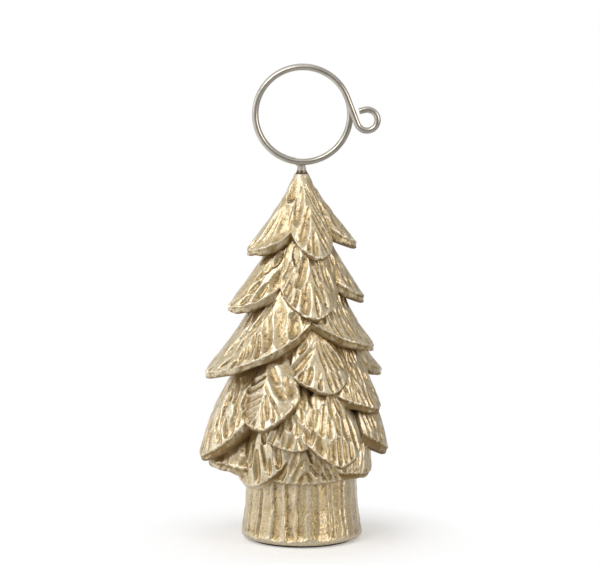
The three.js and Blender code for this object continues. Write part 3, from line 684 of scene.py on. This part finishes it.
def write_shelter(meshes):
    """Writes how sheltered each point is, by the casting close to it or by facing down, for painted
    shade.

    One point in a few is measured, and each point takes the mean of the nearest of these.
    """
    points, faces, samples = [], [], []
    for mesh in meshes:
        base = len(points)
        points += [vert.co.copy() for vert in mesh.vertices]
        faces += [[base + index for index in face.vertices] for face in mesh.polygons]
        samples += [(vert.co.copy(), vert.normal.copy())
                    for vert in list(mesh.vertices)[::SHELTER_STRIDE]]
    casting = BVHTree.FromPolygons(points, faces)
    turns = [(math.sqrt((i + 0.5) / SHELTER_RAYS), i * GOLDEN_ANGLE) for i in range(SHELTER_RAYS)]
    local = [(r * math.cos(a), r * math.sin(a), math.sqrt(1 - r * r)) for r, a in turns]
    near = KDTree(len(samples))
    blocked = []
    for index, (place, normal) in enumerate(samples):
        side = normal.orthogonal().normalized()
        up = normal.cross(side)
        start = place + normal * SHELTER_LIFT
        hits = 0.0
        for x, y, z in local:
            ray = side * x + up * y + normal * z
            distance = casting.ray_cast(start, ray, SHELTER_REACH)[3]
            if distance is not None:
                hits += 1 - distance / SHELTER_REACH
        blocked.append(max(hits / SHELTER_RAYS, min(FACING_DOWN_MOST, FACING_DOWN * normal.z)))
        near.insert(place, index)
    near.balance()
    for mesh in meshes:
        found = [near.find_n(vert.co, NEAREST) for vert in mesh.vertices]
        shelter = np.array([sum(blocked[index] for _, index, _ in few) / NEAREST for few in found],
                           dtype=np.float32)
        shelter *= np.interp([vert.co.z for vert in mesh.vertices], STUMP_TOP, STUMP_SHELTER)
        mesh.attributes.new("shelter", "FLOAT", "POINT").data.foreach_set("value", shelter)


def finished(name, bm, material, sharp=None):
    """Turns a bmesh into a piece at the origin, with its normals outward and its faces smooth."""
    bmesh.ops.recalc_face_normals(bm, faces=bm.faces[:])
    for face in bm.faces:
        face.smooth = True
    if sharp is not None:
        for edge in bm.edges:
            if len(edge.link_faces) == 2 and edge.calc_face_angle() > sharp:
                edge.smooth = False
    mesh = bpy.data.meshes.new(name)
    bm.to_mesh(mesh)
    bm.free()
    piece = bpy.data.objects.new(name, mesh)
    bpy.context.scene.collection.objects.link(piece)
    if material is not None:
        mesh.materials.append(material)
    return piece


def apply_modifiers(piece):
    """Makes the modifiers' result the piece's own mesh."""
    shown = piece.evaluated_get(bpy.context.evaluated_depsgraph_get())
    mesh = bpy.data.meshes.new_from_object(shown)
    piece.modifiers.clear()
    old = piece.data
    piece.data = mesh
    bpy.data.meshes.remove(old)


class Nodes:
    """Node tree of a material or of the world, with short calls to add and link its nodes."""

    def __init__(self, owner, shader="Principled BSDF", place="Object"):
        owner.use_nodes = True
        self.owner, self.tree = owner, owner.node_tree
        self.shader = self.tree.nodes[shader]
        self.place = self.add("ShaderNodeTexCoord").outputs[place]

    def add(self, kind, **settings):
        node = self.tree.nodes.new(kind)
        for key, value in settings.items():
            setattr(node, key, value)
        return node

    def put(self, source, target):
        """Links a socket to another, or gives it a number or colour."""
        if isinstance(source, bpy.types.NodeSocket):
            self.tree.links.new(source, target)
        else:
            target.default_value = (*source, 1.0) if hasattr(source, "__len__") else source

    def feed(self, **sockets):
        """Gives the shader's sockets their sources or values, with _ for a space in a name."""
        for name, source in sockets.items():
            self.put(source, self.shader.inputs[name.replace("_", " ")])

    def split(self):
        """X, Y and Z of the place."""
        node = self.add("ShaderNodeSeparateXYZ")
        self.put(self.place, node.inputs["Vector"])
        return node.outputs

    def noise(self, scale, detail, roughness=0.55, stretch=None):
        node = self.add("ShaderNodeTexNoise")
        place = self.place
        if stretch is not None:
            mapping = self.add("ShaderNodeMapping")
            mapping.inputs["Scale"].default_value = stretch
            self.put(place, mapping.inputs["Vector"])
            place = mapping.outputs["Vector"]
        for key, source in (("Vector", place), ("Scale", scale), ("Detail", detail),
                            ("Roughness", roughness)):
            self.put(source, node.inputs[key])
        return node.outputs["Fac"]

    def ramp(self, source, stops):
        node = self.add("ShaderNodeValToRGB")
        points = node.color_ramp.elements
        while len(points) < len(stops):
            points.new(0.5)
        for point, (position, tone) in zip(points, stops):
            point.position = position
            point.color = (*tone, 1.0) if hasattr(tone, "__len__") else (tone, tone, tone, 1.0)
        self.put(source, node.inputs["Fac"])
        return node.outputs["Color"]

    def span(self, source, low, high, to_low, to_high, kind="LINEAR"):
        """Takes low to high over to another range."""
        node = self.add("ShaderNodeMapRange", interpolation_type=kind)
        for key, value in (("Value", source), ("From Min", low), ("From Max", high),
                           ("To Min", to_low), ("To Max", to_high)):
            self.put(value, node.inputs[key])
        return node.outputs["Result"]

    def blend(self, kind, factor, a, b):
        """Blends two colours."""
        node = self.add("ShaderNodeMix", data_type="RGBA", blend_type=kind)
        for source, target in ((factor, "Factor"), (a, 6), (b, 7)):
            self.put(source, node.inputs[target])
        return node.outputs[2]

    def maths(self, operation, a, b):
        node = self.add("ShaderNodeMath", operation=operation)
        self.put(a, node.inputs[0])
        self.put(b, node.inputs[1])
        return node.outputs["Value"]

    def bump(self, height, strength, distance):
        node = self.add("ShaderNodeBump")
        for key, source in (("Height", height), ("Strength", strength), ("Distance", distance)):
            self.put(source, node.inputs[key])
        self.feed(Normal=node.outputs["Normal"])

    def attribute(self, name):
        return self.add("ShaderNodeAttribute", attribute_name=name).outputs["Fac"]

    def join(self, kind, first, second, factor=None):
        """Adds or mixes two shaders."""
        node = self.add(kind)
        inputs = list(node.inputs)
        if factor is not None:
            self.put(factor, inputs.pop(0))
        self.put(first, inputs[0])
        self.put(second, inputs[1])
        return node.outputs["Shader"]


def gold_finish(colours):
    """Champagne gold: painted highlight on crests, painted shade in cuts and below, flecks and
    grain.
    """
    n = Nodes(bpy.data.materials.new("gold_paint_finish"))
    patches = n.noise(260, 4, 0.6)
    streaks = n.noise(520, 3, 0.6, stretch=(1.0, 1.0, 0.1))
    grain = n.noise(2300, 3, 0.6)
    level = n.maths("ADD", n.attribute("relief"), n.span(patches, 0.3, 0.7, -0.25, 0.25))
    level = n.maths("ADD", level, n.span(streaks, 0.35, 0.65, -0.35, 0.3))
    # Painted shade darkens the gold where the relief is low, in the cuts, and a painted highlight
    # lightens it on the crests.
    tone = n.ramp(n.span(level, -1, 1, 0, 1), [
        (0.12, colours.gold_recess_shade), (0.45, colours.gold_body), (0.58, colours.gold_body),
        (0.84, colours.gold_crest_highlight)])
    tone = n.blend("MULTIPLY", 1.0, tone, n.ramp(grain, [(0.3, 0.7), (0.5, 1.0), (0.7, 1.15)]))

    # Painted shade: darker gold where the casting shelters a point or where it faces down.
    painted_shade = n.maths("ADD", n.attribute("shelter"), n.span(patches, 0.3, 0.7, -0.08, 0.08))
    painted_shade = n.span(painted_shade, 0.28, 0.85, 0.0, 0.9)
    tone = n.blend("MIX", painted_shade, tone, colours.gold_sheltered_shade)
    flecks = n.ramp(n.noise(1100, 3, 0.6), [(0.55, 0.0), (0.63, 1.0)])
    flecks = n.maths("MULTIPLY", flecks, n.span(level, -0.9, 0.35, 0.9, 0.16))
    tone = n.blend("MIX", flecks, tone, colours.gold_fleck)

    rough = n.span(n.noise(520, 3, 0.6), 0.3, 0.7, 0.24, 0.38)
    rough = n.maths("ADD", rough, n.span(flecks, 0, 1, 0, 0.25))
    rough = n.maths("ADD", rough, n.span(painted_shade, 0.0, 0.9, 0.0, 0.2))
    # The coat thins under the painted shade and in the cuts, so these reflect less.
    open_coat, raised_coat = n.span(painted_shade, 0.0, 0.7, 0.9, 0.0), n.span(level, -0.8, 0.0, 0.45, 1.0)
    coat = n.maths("MULTIPLY", open_coat, raised_coat)
    n.feed(Base_Color=tone, Metallic=0.82, Roughness=rough, Coat_Weight=coat, Coat_Roughness=0.13,
           Coat_IOR=2.05)
    height = n.maths("ADD", n.noise(1300, 4, 0.65), grain)
    n.bump(n.maths("SUBTRACT", height, flecks), 0.55, 0.00016)
    return n.owner


def wire_finish(colours):
    """Nickel-coloured wire with a soft polish and handled patches."""
    n = Nodes(bpy.data.materials.new("wire_finish"))
    tone = n.ramp(n.noise(300, 4, 0.6), [(0.36, colours.wire_dull), (0.62, colours.wire_bright)])
    rough = n.span(n.noise(900, 3, 0.6), 0.3, 0.7, 0.2, 0.3)
    n.feed(Base_Color=tone, Metallic=1.0, Roughness=rough)
    n.bump(n.noise(2600, 3, 0.6), 0.12, 0.00006)
    return n.owner


def adhesive_finish(colours, base, rise):
    """Set amber adhesive: glossy, darkest where it is thick round the stem and clearer above."""
    n = Nodes(bpy.data.materials.new("adhesive_finish"))
    cloud = n.noise(1100, 3, 0.5)
    level = n.maths("ADD", n.span(n.split()["Z"], base, base + rise, 0, 1),
                    n.span(cloud, 0.3, 0.7, -0.12, 0.12))
    dark = tuple(c * 0.35 for c in colours.adhesive)
    tone = n.ramp(level, [(0.06, dark), (0.26, colours.adhesive), (0.52, colours.adhesive_thin)])
    n.feed(Base_Color=tone, Roughness=n.span(cloud, 0.3, 0.7, 0.10, 0.2), Coat_Weight=0.5)
    n.bump(n.noise(700, 2, 0.5), 0.2, 0.0002)
    return n.owner


def felt_finish(colours):
    """Dark pressed felt with a short nap."""
    n = Nodes(bpy.data.materials.new("felt_finish"))
    nap = n.noise(2600, 4, 0.7)
    pale = tuple(min(1.0, c * 2.4) for c in colours.felt)
    n.feed(Base_Color=n.ramp(nap, [(0.35, colours.felt), (0.7, pale)]),
           Roughness=n.span(nap, 0.3, 0.7, 0.85, 1.0), Sheen_Weight=0.25)
    n.bump(nap, 0.6, 0.0003)
    return n.owner


class BuildTree(bpy.types.Operator):
    """Carve the gold fir tree and its stump, in sections that lie in each other as one casting"""

    bl_idname = "card_holder.tree"
    bl_label = "Gold Tree"

    def execute(self, context):
        sizes = context.scene.holder_sizes
        finish = gold_finish(context.scene.holder_colours)
        pieces = [self.section(sizes, name, tiers) for name, tiers in SECTIONS]
        write_shelter([piece.data for piece in pieces])
        for piece in pieces:
            write_relief(piece.data)
            piece.data.materials.append(finish)
            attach(piece, "holder")
            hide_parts("tree_casting")
        return {"FINISHED"}

    def section(self, sizes, name, tiers):
        """Joins some tiers of boughs and their stretch of the core into one closed mesh."""
        boughs = [Bough(sizes, tier, index)
                  for tier in tiers for index in range(len(TIERS[tier][1]))]
        bm = bmesh.new()
        low = min(bough.tip_z for bough in boughs) - sizes.bough_wall
        if 0 in tiers:
            core = bored_core(sizes, low)
        else:
            core = plain_core(sizes, low, max(bough.root_z for bough in boughs))
        add_turned(bm, core, CORE_STEPS)
        if tiers[-1] == len(TIERS) - 1:
            carve_stump(sizes, add_turned(bm, stump_profile(sizes), STUMP_STEPS))
        for bough in boughs:
            bough.add_to(bm)
        piece = finished(name, bm, None)
        join = piece.modifiers.new("join", "REMESH")
        join.mode = "VOXEL"
        join.voxel_size = sizes.voxel
        join.use_smooth_shade = True
        apply_modifiers(piece)
        bm = bmesh.new()
        bm.from_mesh(piece.data)
        keep_largest_shell(bm)
        bm.to_mesh(piece.data)
        bm.free()
        triangles = sum(len(face.vertices) - 2 for face in piece.data.polygons)
        if triangles < SECTION_TRIANGLES / 4:
            raise RuntimeError("the boughs did not join into one casting")
        if triangles > SECTION_TRIANGLES:
            thin = piece.modifiers.new("thin", "DECIMATE")
            thin.ratio = SECTION_TRIANGLES / triangles
            apply_modifiers(piece)
        for face in piece.data.polygons:
            face.use_smooth = True
        return piece


class WireBender:
    """A wire that grows from its cut end by straight runs and bends in the ring's plane."""

    def __init__(self, start, heading, diameter):
        self.bm = bmesh.new()
        turn = Vector((0, 0, 1)).rotation_difference(heading).to_matrix().to_4x4()
        made = bmesh.ops.create_circle(self.bm, cap_ends=True, segments=WIRE_FACETS,
                                       radius=diameter / 2, matrix=Matrix.Translation(start) @ turn)
        self.end = made["verts"][0].link_faces[0]
        self.tip = Vector(start)
        self.heading = Vector(heading)

    def sweep(self, centre, axis, angle, steps, drift):
        """Spins the end face about an axis, with a drift along it."""
        grown = bmesh.ops.spin(self.bm, geom=[self.end], cent=centre, axis=axis, dvec=drift / steps,
                               angle=angle, steps=steps)["geom_last"]
        self.end = next(item for item in grown if isinstance(item, bmesh.types.BMFace))
        turn = Matrix.Rotation(angle, 3, axis)
        self.tip = Vector(centre) + turn @ (self.tip - Vector(centre)) + drift
        self.heading = turn @ self.heading

    def straight(self, distance, steps=1):
        self.sweep(self.tip, (0, 1, 0), 0.0, steps, self.heading * distance)

    def bend(self, radius, degrees, steps, forward=0.0):
        """Bends clockwise, seen from the front, for degrees above 0, and drifts forward."""
        angle = math.radians(degrees)
        side = 1 if degrees > 0 else -1
        normal = Vector((self.heading.z, 0, -self.heading.x)) * side
        self.sweep(self.tip + normal * radius, (0, 1, 0), angle, steps, Vector((0, -forward, 0)))

    def round_end(self, size):
        bmesh.ops.bevel(self.bm, geom=list(self.end.edges), offset=size, offset_type="OFFSET",
                        segments=2, profile=0.5, affect="EDGES", material=-1)


class BuildWireClip(bpy.types.Operator):
    """Bend the wire clip: stem and back turn, front turn and finger curl"""

    bl_idname = "card_holder.wire_clip"
    bl_label = "Wire Clip"

    def execute(self, context):
        sizes = context.scene.holder_sizes
        finish = wire_finish(context.scene.holder_colours)
        ring = sizes.ring_diameter / 2
        ring_z = sizes.tree_height + sizes.ring_above_tip + ring
        pitch = sizes.wire_diameter + sizes.turn_gap
        joins = math.radians(STEM_JOINS)
        bend = (ring * math.sin(joins) - sizes.ring_side_shift) / (1 - math.sin(joins))
        bend_z = ring_z - ring * math.cos(joins) - bend * math.cos(joins)

        foot = Vector((0, 0, sizes.tree_height - sizes.stem_depth))
        back = WireBender(foot, Vector((0, 0, 1)), sizes.wire_diameter)
        back.straight(bend_z - back.tip.z, 6)
        back.bend(bend, STEM_JOINS - 90, 16, pitch * STEM_JOINS / 360)
        around = 360 - STEM_JOINS
        back.bend(ring, around - HINGE_SLIT, around // RING_STEP, pitch * around / 360)
        self.place(back, "wire_back_turn", "holder", "clip_back_turn", finish)

        foot = Vector((sizes.ring_side_shift, -pitch, ring_z - ring))
        front = WireBender(foot, Vector((-1, 0, 0)), sizes.wire_diameter)
        front.bend(ring, FRONT_SWEEP, FRONT_SWEEP // RING_STEP, pitch * FRONT_SWEEP / 360)
        front.straight(sizes.curl_lead, 6)
        curl = sizes.curl_diameter / 2
        front.bend(curl, -CURL_SWEEP, 58)
        close = math.radians(CURL_SWEEP)
        room = curl * (1 - math.cos(close)) - sizes.wire_diameter / 2 - sizes.curl_mouth
        front.straight(room / -math.sin(close), 2)
        front.round_end(WIRE_END_ROUND)
        self.place(front, "wire_front_turn", "clip_front", "clip_front_turn", finish)
        return {"FINISHED"}

    def place(self, wire, name, body, node, finish):
        piece = finished(name, wire.bm, finish, sharp=WIRE_SHARP)
        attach(piece, body)
        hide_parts(node)


class BuildAdhesive(bpy.types.Operator):
    """Set the amber adhesive bead round the stem"""

    bl_idname = "card_holder.adhesive"
    bl_label = "Adhesive Bead"

    def execute(self, context):
        sizes, colours = context.scene.holder_sizes, context.scene.holder_colours
        inner, outer = sizes.wire_diameter / 2 + BEAD_ROOM, sizes.bead_diameter / 2
        top, rise = sizes.tree_height, sizes.bead_rise
        profile = [(inner, top - 0.0008), (inner + 0.0004, top - 0.0006),
                   (outer * 0.85, top - 0.0002)]
        profile += [(mix(outer, inner + BEAD_SKIN, share ** BEAD_FLANK), top + rise * share)
                    for share in np.linspace(0, 1, 14)]
        profile.append(profile[0])
        bm = bmesh.new()
        add_turned(bm, profile, 48)
        for vert in bm.verts:
            azimuth = math.atan2(vert.co.y, vert.co.x)
            swell = 1 + sum(size * math.sin(azimuth * lobes + phase)
                            for size, lobes, phase in BEAD_SWELLS)
            reach = math.hypot(vert.co.x, vert.co.y)
            share = mix(1.0, swell, min(1.0, max(0.0, (reach - inner) / (outer - inner))))
            vert.co.x *= share
            vert.co.y *= share
            if vert.co.z > top:
                climb = 1 + BEAD_CLIMB[0] * math.sin(azimuth + BEAD_CLIMB[1])
                vert.co.z = top + (vert.co.z - top) * climb
        bead = finished("adhesive_bead", bm, adhesive_finish(colours, top, rise))
        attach(bead, "holder")
        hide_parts("tip_adhesive")
        return {"FINISHED"}


class BuildFelt(bpy.types.Operator):
    """Lay the felt pad under the foot"""

    bl_idname = "card_holder.felt"
    bl_label = "Felt Pad"

    def execute(self, context):
        sizes, colours = context.scene.holder_sizes, context.scene.holder_colours
        radius = sizes.foot_diameter / 2 - sizes.foot_round - sizes.pad_inset
        bm = bmesh.new()
        made = bmesh.ops.create_circle(bm, cap_ends=True, radius=radius, segments=96)
        face = made["verts"][0].link_faces[0]
        grown = bmesh.ops.extrude_face_region(bm, geom=[face])["geom"]
        top = [item for item in grown if isinstance(item, bmesh.types.BMVert)]
        bmesh.ops.translate(bm, verts=top, vec=(0, 0, sizes.pad_thickness))
        rims = [edge for edge in bm.edges if abs(edge.verts[0].co.z - edge.verts[1].co.z) < 1e-6]
        bmesh.ops.bevel(bm, geom=rims, offset=FELT_EDGE, offset_type="OFFSET", segments=3,
                        profile=0.5, affect="EDGES", material=-1)
        dice = random.Random(5)
        for vert in bm.verts:
            share = 1 + dice.uniform(-FELT_RAGGED, FELT_RAGGED)
            vert.co.x *= share
            vert.co.y *= share
        pad = finished("felt_under_foot", bm, felt_finish(colours), sharp=FELT_SHARP)
        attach(pad, "holder")
        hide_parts("felt_pad")
        return {"FINISHED"}


def add_lamp(name, place, width, height, power, tone):
    """A soft box that faces the holder."""
    data = bpy.data.lights.new(name, "AREA")
    data.shape = "RECTANGLE"
    data.size, data.size_y = width, height
    data.energy = power
    data.color = tone
    lamp = bpy.data.objects.new(name, data)
    lamp.location = place
    lamp.rotation_euler = (Vector(LAMP_AIM) - Vector(place)).to_track_quat("-Z", "Y").to_euler()
    bpy.context.scene.collection.objects.link(lamp)


class BuildStage(bpy.types.Operator):
    """Set the pale floor, the soft boxes, the white surround and the camera"""

    bl_idname = "card_holder.stage"
    bl_label = "Studio Stage"

    def execute(self, context):
        scene = context.scene
        bm = bmesh.new()
        bmesh.ops.create_circle(bm, cap_ends=True, radius=FLOOR_RADIUS, segments=96)
        floor = finished("studio_floor", bm, self.floor_finish(scene.holder_colours))
        scene.world = self.surround()
        for name, setting in LAMPS.items():
            add_lamp(name, *setting)
        camera = bpy.data.objects.new("camera", bpy.data.cameras.new("camera"))
        camera.data.sensor_fit = "HORIZONTAL"
        camera.data.sensor_width = SENSOR
        camera.data.lens = SENSOR * FOCAL_LENGTH / FRAME_WIDTH
        camera.location = EYE
        look = Vector((EYE[0], 0, LOOK_HEIGHT)) - camera.location
        camera.rotation_euler = look.to_track_quat("-Z", "Y").to_euler()
        camera.data.clip_start = 0.01
        scene.collection.objects.link(camera)
        scene.camera = camera
        scene.view_settings.view_transform = "Standard"
        return {"FINISHED"}

    def floor_finish(self, colours):
        """Pale matt floor that takes the holder's shadow and is white to the camera farther off.

        Gloss shows that white too, dimmer to the right of the holder.
        """
        n = Nodes(bpy.data.materials.new("floor_finish"))
        paler = tuple(c * 1.01 for c in colours.floor)
        n.feed(Base_Color=n.ramp(n.noise(6, 2), [(0.0, colours.floor), (1.0, paler)]),
               Roughness=0.9, Specular_IOR_Level=0.1)
        rays, place = n.add("ShaderNodeLightPath").outputs, n.split()
        leftward = n.maths("ADD", n.maths("MULTIPLY", place["X"], -0.9),
                           n.maths("MULTIPLY", place["Y"], 0.5))
        bright = n.maths("MAXIMUM", n.span(leftward, -0.07, 0.05, 0.5, 1.0), rays["Is Camera Ray"])
        white, glow = n.add("ShaderNodeEmission"), n.add("ShaderNodeEmission")
        n.put(bright, white.inputs["Strength"])
        n.put(n.maths("MULTIPLY", rays["Is Camera Ray"], SHADED_GLOW), glow.inputs["Strength"])
        matt = n.add("ShaderNodeBsdfDiffuse")
        matt.inputs["Color"].default_value = SHADED_TONE
        shaded = n.join("ShaderNodeAddShader", glow.outputs["Emission"], matt.outputs["BSDF"])
        reach = n.add("ShaderNodeVectorMath", operation="LENGTH")
        n.put(n.place, reach.inputs[0])
        away = n.span(reach.outputs["Value"], SHADED_FLOOR, WHITE_FLOOR, 0.0, 1.0)
        shown = n.join("ShaderNodeMixShader", shaded, white.outputs["Emission"], away)
        mirrored = n.maths("MAXIMUM", rays["Is Glossy Ray"], rays["Is Transmission Ray"])
        seen = n.maths("MAXIMUM", rays["Is Camera Ray"], mirrored)
        floor = n.join("ShaderNodeMixShader", n.shader.outputs["BSDF"], shown, seen)
        n.put(floor, n.tree.nodes["Material Output"].inputs["Surface"])
        return n.owner

    def surround(self):
        """A backdrop white to the camera, and a studio bright above and left and dim in front."""
        n = Nodes(bpy.data.worlds.new("studio_surround"), "Background", "Generated")
        rays, place = n.add("ShaderNodeLightPath").outputs, n.split()
        slope = n.maths("ADD", n.maths("MULTIPLY", place["X"], -0.62),
                        n.maths("MULTIPLY", place["Z"], 0.78))
        mirrored = n.maths("MAXIMUM", rays["Is Glossy Ray"], rays["Is Transmission Ray"])
        share = n.maths("ADD", n.maths("MULTIPLY", mirrored, 0.35), 0.65)
        studio = n.maths("MULTIPLY", n.span(slope, -0.7, 1.0, 0.36, 0.93, "SMOOTHSTEP"), share)
        front = n.span(n.maths("MULTIPLY", place["Y"], -1.0), 0.74, 0.97, 1.0, 0.42, "SMOOTHSTEP")
        studio = n.maths("MULTIPLY", studio, front)
        n.feed(Color=(1, 1, 1), Strength=n.maths("MAXIMUM", studio, rays["Is Camera Ray"]))
        return n.owner


class CardHolderPanel(bpy.types.Panel):
    """Sizes, colours and the steps that build the holder"""

    bl_idname = "VIEW3D_PT_card_holder"
    bl_label = "Place Card Holder"
    bl_space_type = "VIEW_3D"
    bl_region_type = "UI"
    bl_category = "Card Holder"

    def draw(self, context):
        for step in STEPS:
            self.layout.operator(step.bl_idname)
        for group in (context.scene.holder_sizes, context.scene.holder_colours):
            box = self.layout.box()
            for name in group.__annotations__:
                box.prop(group, name)


STEPS = (BuildTree, BuildWireClip, BuildAdhesive, BuildFelt, BuildStage)
CLASSES = (HolderSizes, HolderColours, *STEPS, CardHolderPanel)


def register():
    for item in CLASSES:
        bpy.utils.register_class(item)
    bpy.types.Scene.holder_sizes = PointerProperty(type=HolderSizes)
    bpy.types.Scene.holder_colours = PointerProperty(type=HolderColours)


def unregister():
    del bpy.types.Scene.holder_colours
    del bpy.types.Scene.holder_sizes
    for item in reversed(CLASSES):
        bpy.utils.unregister_class(item)


def main():
    register()
    bpy.ops.card_holder.tree()
    bpy.ops.card_holder.wire_clip()
    bpy.ops.card_holder.adhesive()
    bpy.ops.card_holder.felt()
    bpy.ops.card_holder.stage()


if __name__ == "__main__":
    main()
